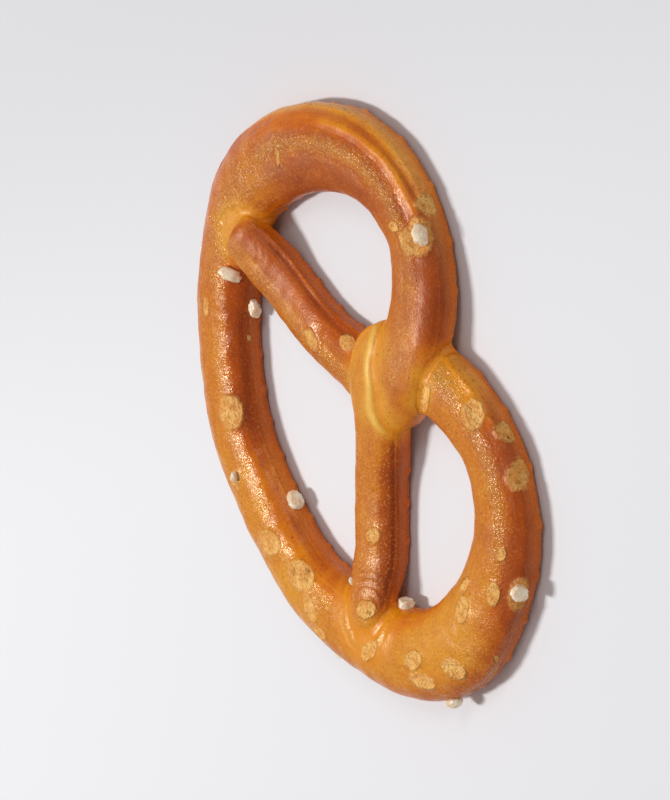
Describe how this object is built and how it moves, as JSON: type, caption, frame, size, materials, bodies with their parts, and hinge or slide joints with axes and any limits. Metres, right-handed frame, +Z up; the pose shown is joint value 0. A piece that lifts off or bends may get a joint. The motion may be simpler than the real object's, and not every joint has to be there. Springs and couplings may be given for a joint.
{
  "type": "salted pretzel snack",
  "caption": "Small crunchy salted pretzel: one thin rope of dough twisted at the middle with its ends pressed onto the belly.",
  "frame": {"origin": "middle of the outline on the plane the baked base rests on", "axes": "+X from the small loop to the large loop, +Y from the belly to the loops, +Z up through the salted side"},
  "size_m": [0.0496, 0.0394, 0.0044],
  "materials": {
    "crust": "glossy baked crust with pale salt scars"
  },
  "bodies": {
    "root": {"pretzel": "crust"}
  },
  "joints": []
}
